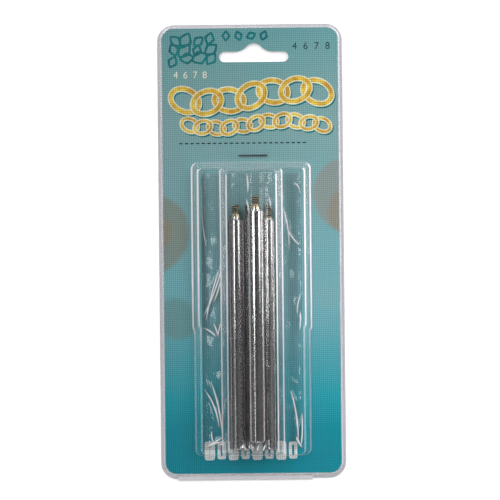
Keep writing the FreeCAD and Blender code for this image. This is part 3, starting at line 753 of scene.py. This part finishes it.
def rod_profile(radius, run_radius, run_length):
    """The rod's radius against the way along it, from the middle of its tip to the stud's end."""
    angle = np.radians(np.linspace(-90, 0, 9))
    tip_along = tip_round * (1 + np.sin(angle))
    tip_out = radius - tip_round + tip_round * np.cos(angle)
    shaft_along = np.linspace(tip_round, rod_length - shoulder_chamfer, shaft_rows)[1:]
    stud_start = rod_length + run_length
    stud_end = rod_length + stud_length
    stud_along = np.linspace(stud_start, stud_end - stud_chamfer, stud_rows)
    along = np.concatenate([
        [0], tip_along, shaft_along, [rod_length, rod_length + 0.001], stud_along, [stud_end, stud_end],
    ])
    out = np.concatenate([
        [0], tip_out, np.full(shaft_rows - 1, radius), [radius - shoulder_chamfer, run_radius],
        np.full(stud_rows, stud_radius), [stud_radius - stud_chamfer, 0],
    ])
    return along, out


def turn_rod(name, radius, across, lift, shoulder, run_radius, run_length, hole_way):
    """A surface turned about the rod's own line. On the stud the radius drops by the thread's
    depth times a flattened triangle wave of the way along less the share of a turn."""
    along, out = rod_profile(radius, run_radius, run_length)
    columns = 72
    angle = np.linspace(0, 2 * np.pi, columns, endpoint=False)
    way, turn = np.meshgrid(along, angle, indexing="ij")
    reach = np.repeat(out[:, None], columns, 1)
    start, end = rod_length + run_length, rod_length + stud_length
    phase = (way - start) / thread_pitch - turn / (2 * np.pi)
    tooth = np.clip(1.4 * np.abs(2 * (phase % 1) - 1) - 0.2, 0, 1)
    threaded = np.clip((way - start) / thread_run_in, 0, 1)
    threaded = threaded * np.clip((end - thread_run_out - way) / thread_run_out, 0, 1)
    reach = reach - thread_depth * tooth * threaded
    points = np.stack([
        across + reach * np.sin(turn),
        shoulder - rod_length + way,
        lift + reach * np.cos(turn),
    ], -1).reshape(-1, 3)
    rod = put_into_mesh("turned_" + name, points * MM, quads(len(along), columns, ring=True))
    merge_points(rod)
    ring = np.linspace(0, 2 * np.pi, 24, endpoint=False)
    circle = np.stack([np.cos(ring), np.sin(ring)], -1) * wire_hole
    drill = prism(name + "_drill", circle, -radius - 1, radius + 1)
    spots = points_of(drill)
    hole_along = shoulder - wire_hole_down
    if hole_way == "up":
        moved = np.stack([across + spots[0], hole_along + spots[1], lift + spots[2]], -1)
    else:
        moved = np.stack([across + spots[2], hole_along + spots[1], lift - spots[0]], -1)
    drill.data.vertices.foreach_set("co", (moved * MM).ravel().astype(np.float32))
    cut = rod.modifiers.new("wire_hole", "BOOLEAN")
    cut.operation = "DIFFERENCE"
    cut.object = drill
    settle(rod, [drill])
    rod.data.polygons.foreach_set("use_smooth", np.ones(len(rod.data.polygons), bool))
    rod.data.set_sharp_from_angle(angle=math.radians(35))
    spots = points_of(rod)
    on_stud = spots[1] > shoulder + 0.05
    mark(rod, "stud", on_stud)
    # How deep each point of the thread lies below the crest, for painted shade in the roots.
    sunk = stud_radius - np.hypot(spots[0] - across, spots[2] - lift)
    mark(rod, "thread_root_shade", np.clip(1.6 * sunk / thread_depth, 0, 1) * on_stud)
    return rod


chrome_finish, tree, surface = new_finish("polished_chrome")
place = add_node(tree, "TexCoord").outputs["Object"]
stud = add_node(tree, "Attribute", attribute_name="stud").outputs["Fac"]
drawn = add_node(tree, "Mapping", {"Vector": place, "Scale": (1.0, 0.12, 1.0)})
streaks = add_node(tree, "TexNoise", {"Vector": drawn.outputs[0], "Scale": 420.0, "Detail": 3.0})
pits = add_node(tree, "TexNoise", {"Vector": place, "Scale": 2600.0, "Detail": 1.0})
uneven = add_node(tree, "Math", {0: pits.outputs[0], 1: 0.7, 2: streaks.outputs[0]},
                  operation="MULTIPLY_ADD")
bump = add_node(tree, "Bump", {"Height": uneven.outputs[0], "Distance": 0.00002, "Strength": 1.0})
# Painted light: the colour darkens towards the rods' grazing sides as painted shade, with a thin pinkish
# band of painted reflection a little off the middle.
tilt = add_node(tree, "LayerWeight", {"Blend": 0.5})
painted_edge_shade_and_sheen = add_node(tree, "ValToRGB", {0: tilt.outputs["Facing"]})
fill_ramp(painted_edge_shade_and_sheen, (
    (0.0, paint(212, 210, 209)),
    (0.11, paint(210, 208, 207)),
    (0.16, paint(214, 178, 206)),
    (0.22, paint(204, 203, 201)),
    (0.5, paint(186, 184, 182)),
    (0.9, paint(110, 106, 106)),
))
crest = add_node(tree, "Mix", {0: stud, 6: painted_edge_shade_and_sheen.outputs[0], 7: paint(226, 212, 172)}, data_type="RGBA")
# Painted shade: the thread's roots are darkened towards a near-black brown.
thread_root_shade = add_node(tree, "Attribute", attribute_name="thread_root_shade").outputs["Fac"]
base = add_node(tree, "Mix", {0: thread_root_shade, 6: crest.outputs[2], 7: paint(46, 40, 34)}, data_type="RGBA")
mottle = add_node(tree, "MapRange", {0: pits.outputs[0], 1: 0.35, 2: 0.65, 3: 0.82, 4: 1.15})
plated = add_node(tree, "VectorMath", {0: base.outputs[2], "Scale": mottle.outputs[0]}, operation="SCALE")
smear = add_node(tree, "MapRange", {0: streaks.outputs[0], 1: 0.3, 2: 0.75, 3: 0.05, 4: 0.16})
rough = add_node(tree, "Math", {0: stud, 1: 0.18, 2: smear.outputs[0]}, operation="MULTIPLY_ADD")
chrome = add_node(tree, "BsdfPrincipled", {
    "Base Color": plated.outputs[0], "Metallic": 1.0, "Roughness": rough.outputs[0],
    "Normal": bump.outputs[0],
})
tree.links.new(chrome.outputs[0], surface)

for name, sizes in mandrels.items():
    rod = turn_rod(name, *sizes)
    rod.data.materials.append(chrome_finish)
    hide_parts(name)
    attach(rod, name)


# The film bag.
# A lay-flat bag of thin clear film, 2 by 5 inches, around the rods. It is pulled over them as a
# ridge, lies crumpled at both sides, and its bottom seam is pushed up at the left.

bag_half = 22.2
bag_bottom = -87.88
bag_mouth = 35.0
bag_edge_level = 1.85
side_billow = ((0, 3.1), (17.0, 3.3), (20.5, 2.9), (22.2, 1.85))
hump = (
    (-22.2, 1.85), (-14.5, 1.85), (-12.9, 2.5), (-11.4, 5.0), (-10.4, 7.9), (-9.0, 9.3), (-7.2, 9.75),
    (-4.6, 11.0), (-1.8, 12.9), (0.0, 13.75), (1.84, 14.0), (3.7, 13.75), (5.5, 12.8), (7.6, 10.9),
    (9.6, 8.7), (10.9, 6.3), (11.8, 3.4), (13.4, 1.85), (22.2, 1.85),
)
wave_count = 9
wave_slope = 0.08
small_creases = 50
creases = (
    # start, end, bow, height, width
    ((-21.7, 30.5), (-20.2, 3.2), -1.0, 1.3, 0.9),
    ((-13.2, -5.7), (-21.6, -28.0), 0.9, 1.4, 0.9),
    ((-14.6, -8.0), (-20.4, -29.5), -0.5, 1.1, 0.7),
    ((-13.9, -12.0), (-17.2, -22.0), 0.4, 0.8, 0.5),
    ((-21.7, -33.6), (-16.4, -37.3), 0.6, 1.1, 0.7),
    ((-17.2, -31.5), (-15.3, -37.0), 0.2, 0.8, 0.5),
    ((-13.8, -31.0), (-15.3, -37.0), -0.2, 0.8, 0.5),
    ((-21.4, -61.0), (-15.3, -77.1), 1.2, 1.3, 0.9),
    ((-18.4, -58.0), (-13.9, -80.0), 0.8, 0.9, 0.7),
    ((-18.6, -79.5), (-17.6, -84.5), -0.4, 0.7, 0.5),
    ((-21.7, -87.0), (-13.1, -83.8), 0.5, 1.3, 0.6),
    ((-20.8, -85.5), (-14.0, -82.0), -0.4, 0.9, 0.5),
    ((-1.9, 34.4), (-1.5, 26.0), 0.3, 0.4, 0.8),
    ((-2.2, 23.3), (-1.0, 17.5), 0.2, 0.35, 0.6),
    ((7.6, 24.3), (8.4, 19.5), 0.3, 0.6, 0.7),
    ((19.3, 30.6), (21.8, 27.4), 0.3, 1.2, 0.7),
    ((13.7, 21.0), (16.6, 1.0), 0.9, 1.2, 0.8),
    ((15.2, 12.0), (21.2, 3.0), -0.7, 0.8, 0.6),
    ((21.8, -19.0), (20.2, -28.0), -0.8, 1.2, 0.7),
    ((21.3, -26.5), (21.0, -34.5), 0.3, 1.1, 0.9),
    ((21.6, -72.0), (21.0, -86.4), 0.5, 1.2, 0.8),
    ((16.8, -62.0), (19.8, -84.6), 0.9, 0.9, 0.7),
    ((19.0, -82.0), (21.6, -86.8), -0.4, 1.0, 0.5),
    ((-4.6, -84.2), (-3.3, -87.0), 0.1, 0.3, 0.5),
    ((-1.2, -83.8), (-0.4, -87.0), 0.1, 0.3, 0.5),
    ((2.2, -84.4), (1.4, -87.2), -0.1, 0.3, 0.5),
    ((5.2, -84.2), (4.0, -87.2), -0.1, 0.3, 0.5),
)


def crease_height(x, y, start, end, bow, height, width):
    """A fold along a line that bows to its side: it falls off as e to minus the distance from
    the line over its width, with a slightly rounded crest, and thins towards both ends."""
    along = np.subtract(end, start)
    length = math.hypot(*along)
    along = along / length
    share = np.clip(((x - start[0]) * along[0] + (y - start[1]) * along[1]) / length, 0, 1)
    past_x = x - start[0] - share * length * along[0]
    past_y = y - start[1] - share * length * along[1]
    sideways = past_y * along[0] - past_x * along[1] - bow * 4 * share * (1 - share)
    endways = past_x * along[0] + past_y * along[1]
    apart = np.sqrt(sideways**2 + endways**2 + (0.35 * width) ** 2)
    return height * np.exp(-apart / width) * np.sin(np.pi * np.clip(share, 0.06, 0.94)) ** 0.6


def crease_line(x, y, start, end, bow):
    """The crest of one fold, for its white line of whitening and painted highlight: it fades over a
    fifth of a millimetre.
    """
    return np.clip(2.2 * crease_height(x, y, start, end, bow, 1.0, 0.16) - 0.05, 0, 1)


def front_film(x, y):
    """The front film's height: the hump over the rods, lower past the rods' studs, and round it a
    puffed side with waves and folds, which fade where the film is stretched and at its edges."""
    base = np.interp(np.abs(x), *zip(*side_billow))
    over = np.maximum(np.interp(x, *zip(*hump)), base)
    stretch = np.clip((over - base) / 3, 0, 1)
    fall = np.interp(y, (bag_bottom, bag_bottom + 0.1, 28.4, 30.5, bag_mouth), (0, 1, 1, 0.84, 0.82))
    top_rod = np.interp(y, (-87.5, -86.5), (9.75, 14.2))
    level = base + (np.minimum(over, top_rod) - base) * fall
    folds = np.zeros(x.shape)
    for crease in creases:
        folds = np.maximum(folds, crease_height(x, y, *crease))
    crumple = np.random.default_rng(21)
    loose_part = np.zeros(x.shape)
    for _ in range(wave_count):
        wave = crumple.uniform(4.5, 13.0)
        way = crumple.uniform(0, 2 * np.pi)
        phase = (x * math.cos(way) + y * math.sin(way)) * 2 * np.pi / wave + crumple.uniform(0, 2 * np.pi)
        loose_part += wave_slope * wave / (2 * np.pi) * np.sin(phase)
    for _ in range(small_creases):
        start = np.array([crumple.uniform(-21, 21), crumple.uniform(-86, 33)])
        way = crumple.uniform(0, np.pi)
        end = start + crumple.uniform(2, 9) * np.array([math.cos(way) * 0.6, math.sin(way)])
        bow = crumple.uniform(-0.8, 0.8)
        height = crumple.uniform(-0.15, 0.25)
        width = crumple.uniform(0.7, 1.5)
        loose_part += crease_height(x, y, start, end, bow, height, width)
    inside = np.clip((bag_half - np.abs(x)) / 1.5, 0, 1) * np.clip((y - bag_bottom) / 1.5, 0, 1)
    loose = inside * (1 - 0.8 * stretch)
    return np.maximum(level + (folds + loose_part) * loose, bag_edge_level - 0.2 * inside)


columns = lines((-bag_half, -13.2, 0.2), (-13.2, 13.6, 0.30), (13.6, bag_half, 0.2))
rows = lines((bag_bottom, bag_bottom + 0.1, 0.1), (bag_bottom + 0.1, -86.0, 0.16), (-86.0, bag_mouth, 0.42))
y, x = np.meshgrid(rows, columns, indexing="ij")
front_points = np.stack([x, y, front_film(x, y)], -1)
y, x = np.meshgrid(rows, lines((bag_half - 0.8, 0.8 - bag_half, 3.5)), indexing="ij")
back_points = np.stack([x, y, np.full(x.shape, bag_edge_level - 0.15)], -1)
tube = np.concatenate([front_points, back_points], 1)
film = put_into_mesh("film_bag", tube.reshape(-1, 3) * MM, quads(len(rows), tube.shape[1], ring=True))
film.data.polygons.foreach_set("use_smooth", np.ones(len(film.data.polygons), bool))
x, y, z = points_of(film)
# White lines along the crests of the folds in the table, partly the whitening of a sharp fold and partly
# painted highlight.
crest_whitening_and_highlight = np.max([crease_line(x, y, *crease[:3]) for crease in creases], 0)
mark(film, "bend_whitening_and_highlight", crest_whitening_and_highlight * (z > bag_edge_level))
film_tint = (0.99, 0.993, 0.993, 1.0)
film.data.materials.append(clear_finish("thin_film", film_tint, 0.030, 0.0, 1.4, 110.0, 0.000006, 0.10))
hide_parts("polybag")
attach(film, "root")


# The front half of the clamshell.
# The same clear sheet, drawn down over a mould in three steps: the recess that holds the card,
# the outer bay, which narrows half way down, and the ridge over the rods.

front_rim = 0.75
recess_rise = 1.20
bay_rise = 5.25
ridge_rise = 7.80
recess_foot = (39.95, -99.2, 100.6, 5.8)
recess_edge = (39.5, -98.75, 100.15, 5.35)
wide_foot = (26.3, -36.0, 40.0, 3.0)
wide_edge = (23.6, -33.3, 37.4, 2.0)
narrow_foot = (25.5, -90.35, 40.0, 3.0)
narrow_edge = (22.8, -89.45, 37.4, 2.0)
ridge_foot = (13.6, -89.25, 36.8, 1.3)
ridge_edge = (10.9, -87.75, 35.5, 1.1)
fold_left = -33.7
fold_right = 26.3
fold_end = -99.6


def bay_share(x, y):
    """The share of the way up the outer bay's wall: the greater of its wide and its narrow part."""
    wide = climb(x, y, wide_foot, wide_edge)
    narrow = climb(x, y, narrow_foot, narrow_edge)
    return np.maximum(wide, narrow)


def front_top(x, y):
    """The front's upper face: each form adds its rise times the eased share of its own wall."""
    recess = eased(climb(x, y, recess_foot, recess_edge), 0.2)
    bay = eased(bay_share(x, y), 0.11)
    ridge = eased(climb(x, y, ridge_foot, ridge_edge), 0.09)
    return front_rim + recess_rise * recess + bay_rise * bay + ridge_rise * ridge


def outside_fold(x, y):
    """Leaves out the faces where the folded strip runs down to the front's rim."""
    return ~((x > fold_left) & (x < fold_right) & (y < fold_end))


outer = lines(
    (-pack_half, -40.2, 0.35), (-40.2, -39.2, 0.11), (-39.2, fold_left, 0.7), (fold_left, -27.6, 1.5),
)
forms = lines((-27.6, -20.2, 0.3), (-20.2, -14.2, 0.8), (-14.2, -10.2, 0.2), (-10.2, 10.2, 1.0))
forms_right = -forms[forms < -10.0][::-1]
outer_right = lines((27.6, 33.75, 1.5), (33.75, 39.2, 0.7), (39.2, 40.2, 0.11), (40.2, pack_half, 0.35))
front_columns = np.concatenate([outer, forms, forms_right, [fold_right], outer_right])
front_columns = np.unique(np.round(front_columns, 4))
middle_rows = lines(
    (low_rows[-1], -91.0, 0.8), (-91.0, -86.4, 0.16), (-86.4, -40.0, 1.6), (-40.0, -33.5, 0.35),
    (-33.5, 30.0, 1.6), (30.0, 41.0, 0.3), (41.0, high_rows[0], 1.6),
)
front_rows = np.unique(np.round(np.concatenate([low_rows, [fold_end], middle_rows, high_rows]), 4))
front_half = form_sheet("clamshell_front", front_columns, front_rows, front_top, outside_fold)
x, y, z = points_of(front_half)
recess, bay = climb(x, y, recess_foot, recess_edge), bay_share(x, y)
ridge = climb(x, y, ridge_foot, ridge_edge)
walls = sum(
    np.clip(1.2 - np.abs(2 * share - 1) ** 4, 0, 1) * (np.abs(share - 0.5) < 0.5)
    for share in (bay, ridge)
)
# Painted light: the wall reflection and the bend lines are strong along the upper half of the sides, where
# the lamps shine, and weaker lower down. They are faint across the top ends and moderate across the bottom
# ends.
at_end = np.where(y > 0, 0.05, 0.5)
lit_end = eased((y + 45) / 35, 0.2)
painted_wall_reflection = 0.35 * walls + 0.35 * (np.abs(ridge - 0.5) < 0.5)
mark(front_half, "wall_painted_reflection", (0.2 + 1.0 * lit_end) * painted_wall_reflection)
# White lines along the recess, bay and ridge bends: partly whitening, partly painted highlight.
bends = 0.5 * bend_mark(recess, 0.2, side_share(x, y, *recess_foot), 0.7)
bends += (0.3 + 0.7 * lit_end) * bend_mark(bay, 0.115, side_share(x, y, *wide_foot), at_end)
bends += (0.45 + 0.55 * lit_end) * bend_mark(ridge, 0.095, side_share(x, y, *ridge_foot), at_end)
mark(front_half, "bend_whitening_and_highlight", np.clip(bends, 0, 1))
mark(front_half, "rim_painted_shade", np.clip(-3 * recess, 0, 1))
front_half.data.materials.append(clamshell_finish)
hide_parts("front_shell")
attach(front_half, "lid")


# The living hinge.
# The same sheet folded over along the bottom edge: half a small tube from the back's rim, and a
# short ramp down to the front's rim.

fold_round = 0.60
fold_bore = 0.25
fold_middle_y = -101.0

angle = np.radians(np.linspace(90, 270, 17))
round_the_fold = np.stack([np.cos(angle), np.sin(angle)], -1)
outer_arc = (fold_middle_y, fold_round) + fold_round * round_the_fold
inner_arc = (fold_middle_y, fold_round) + fold_bore * round_the_fold
ramp = np.linspace(0, 1, 7)[:, None]
ramp_top = (1 - ramp) * (fold_end, front_rim) + ramp * (fold_middle_y, 2 * fold_round)
ramp_low = (1 - ramp) * (fold_middle_y, fold_round + fold_bore) + ramp * (fold_end, front_rim - sheet_gauge)
profile = np.concatenate([ramp_top[:-1], outer_arc, inner_arc[::-1], ramp_low[1:]])
places = lines((fold_left, fold_right, 1.5))
count = len(profile)
strip_points = np.empty((len(places), count, 3))
strip_points[:, :, 0] = places[:, None]
strip_points[:, :, 1:] = profile
ends = [list(range(count)), list(range((len(places) - 1) * count, len(places) * count))[::-1]]
strip_faces = quads(len(places), count, ring=True)[:, ::-1].tolist() + ends
strip = put_into_mesh("folded_strip", strip_points.reshape(-1, 3) * MM, strip_faces)
merge_points(strip)
strip.data.polygons.foreach_set("use_smooth", np.ones(len(strip.data.polygons), bool))
strip.data.set_sharp_from_angle(angle=math.radians(40))
# Painted light all over the strip: a painted reflection, white lines of partly whitening and partly painted
# highlight, and the rim's darker tint as painted shade.
mark(strip, "wall_painted_reflection", np.full(len(strip.data.vertices), 0.5))
mark(strip, "bend_whitening_and_highlight", np.full(len(strip.data.vertices), 0.3))
mark(strip, "rim_painted_shade", np.ones(len(strip.data.vertices)))
strip.data.materials.append(clamshell_finish)
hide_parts("hinge_strip")
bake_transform(strip)
